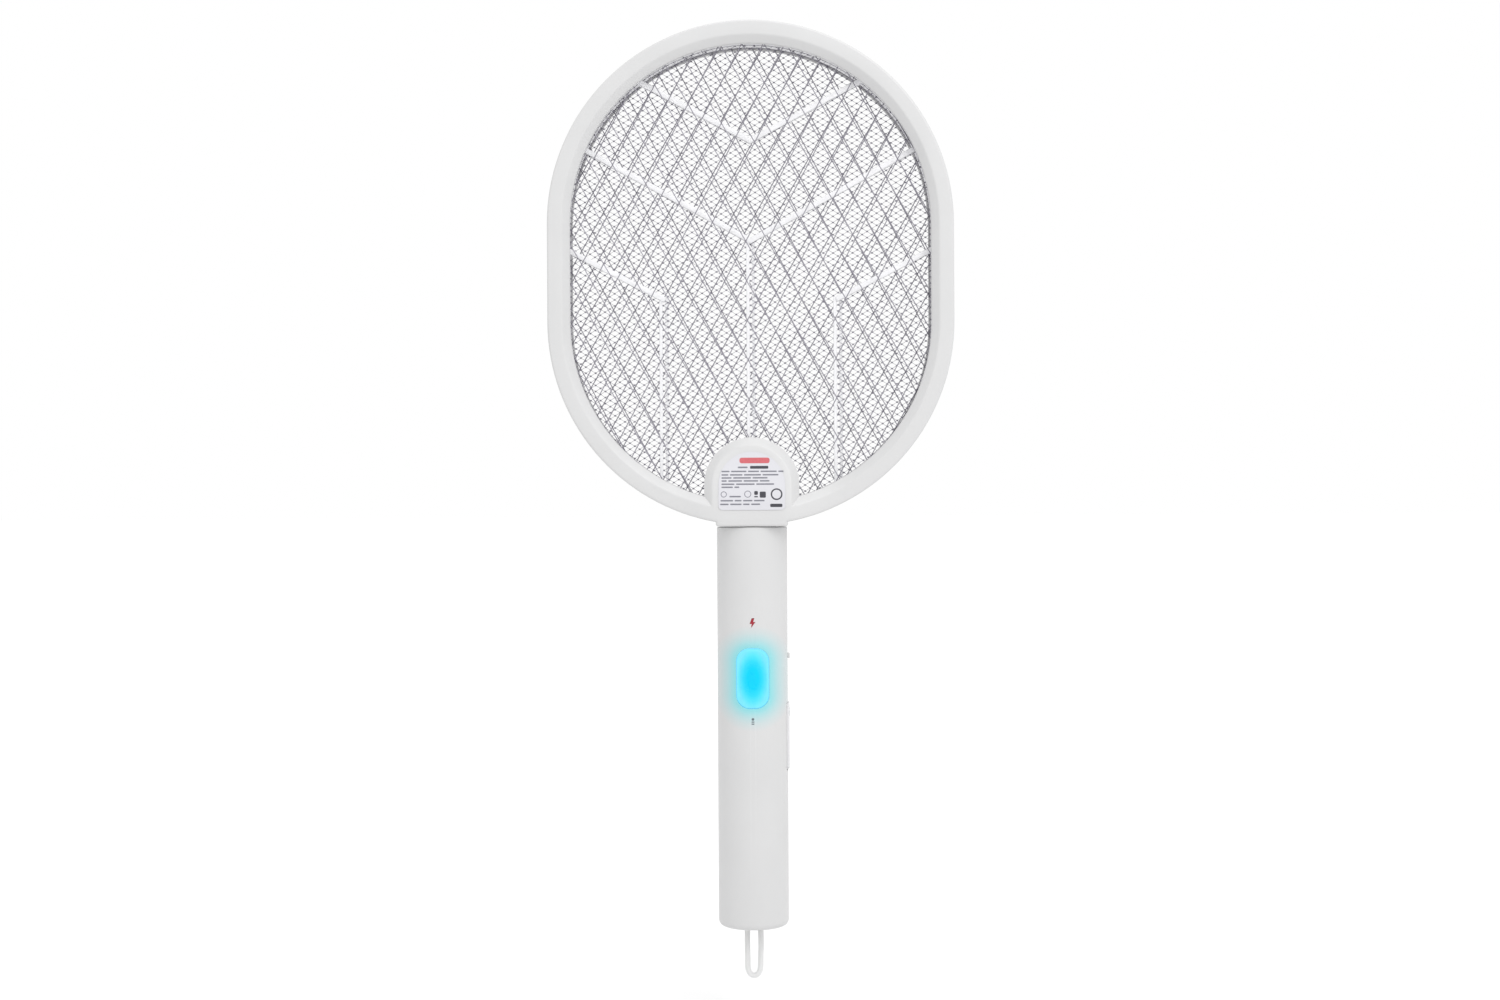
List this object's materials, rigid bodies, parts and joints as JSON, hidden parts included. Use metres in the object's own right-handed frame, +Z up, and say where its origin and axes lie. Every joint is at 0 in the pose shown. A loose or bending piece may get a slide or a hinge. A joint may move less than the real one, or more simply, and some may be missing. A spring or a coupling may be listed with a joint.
{
  "type": "electric fly swatter",
  "caption": "battery fly swatter: an obround head of layered wire meshes that swivels on a round handle, with a lit button, a port cover and a hanging loop",
  "frame": {"origin": "the middle of the grip, on the handle's axis", "axes": "+Z runs up the handle to the head, +Y points out of the back of the head, +X is the right side seen from the front"},
  "size_m": [0.2014, 0.0368, 0.477],
  "materials": {
    "white_plastic": "fine satin moulded shell",
    "web_plastic": "thin insulating web",
    "mesh_steel": "dull drawn wire",
    "fastener_steel": "bright plated screw",
    "brass": "stamped contact",
    "label": "satin printed film",
    "button_plastic": "translucent cap lit from behind",
    "indicator_plastic": "small red light window",
    "soft_rubber": "soft pale elastomer",
    "acetal": "natural bearing plastic",
    "circuit_board": "green solder mask",
    "black_plastic": "moulded component body",
    "red_insulation": "wire insulation",
    "yellow_tape": "transformer tape",
    "blue_sleeve": "shrink sleeve",
    "lens": "clear epoxy",
    "loop_cord": "braided cord"
  },
  "bodies": {
    "handle": {"handle_front_shell": "white_plastic", "handle_rear_shell": "white_plastic", "swivel_spigot": "acetal", "swivel_washer": "black_plastic", "tact_switch": "black_plastic", "button_led_upper": "lens", "button_led_lower": "lens", "indicator_window": "indicator_plastic", "indicator_led": "lens", "slide_switch_body": "black_plastic", "usb_socket": "fastener_steel", "handle_screw_1": "fastener_steel", "handle_screw_2": "fastener_steel", "handle_screw_3": "fastener_steel", "main_board": "circuit_board", "step_up_transformer": "yellow_tape", "storage_capacitor": "blue_sleeve", "driver_transistor": "black_plastic", "multiplier_diode_1": "black_plastic", "multiplier_diode_2": "black_plastic", "multiplier_diode_3": "black_plastic", "battery_cell": "blue_sleeve", "battery_cradle": "black_plastic", "battery_tab_upper": "fastener_steel", "battery_tab_lower": "fastener_steel", "output_lead_outer": "red_insulation", "output_lead_centre": "black_plastic", "battery_lead_positive": "red_insulation", "battery_lead_negative": "black_plastic", "loop_anchor": "acetal", "hanging_loop": "loop_cord"},
    "head": {"head_front_frame": "white_plastic", "head_rear_frame": "white_plastic", "rib_web_front": "web_plastic", "rib_web_rear": "web_plastic", "front_mesh": "mesh_steel", "centre_mesh": "mesh_steel", "rear_mesh": "mesh_steel", "rating_label": "label", "front_mesh_terminal": "brass", "rear_mesh_terminal": "brass", "centre_mesh_terminal": "brass", "head_screw_1": "fastener_steel", "head_screw_2": "fastener_steel", "head_screw_3": "fastener_steel", "head_screw_4": "fastener_steel", "head_screw_5": "fastener_steel", "head_screw_6": "fastener_steel", "head_screw_7": "fastener_steel", "front_mesh_lead": "red_insulation", "rear_mesh_lead": "red_insulation", "centre_mesh_lead": "black_plastic"},
    "power_button": {"power_button": "button_plastic", "switch_plunger": "black_plastic"},
    "slide_switch": {"slide_switch_knob": "soft_rubber"},
    "port_cover": {"port_cover": "soft_rubber"}
  },
  "joints": [
    {"name": "head_swivel", "type": "hinge", "parent": "handle", "child": "head", "pos_m": [0, 0, 0.0985], "axis": [0, 0, 1], "range_deg": [0, 90]},
    {"name": "button_press", "type": "slide", "parent": "handle", "child": "power_button", "axis": [0, 1, 0], "range_m": [0, 0.001], "stiffness_N_per_m": 1500},
    {"name": "slider_travel", "type": "slide", "parent": "handle", "child": "slide_switch", "axis": [0, 0, 1], "range_m": [0, 0.004]},
    {"name": "cover_hinge", "type": "hinge", "parent": "handle", "child": "port_cover", "pos_m": [0.0174, 0, -0.0219], "axis": [0, 1, 0], "range_deg": [0, 100]}
  ]
}
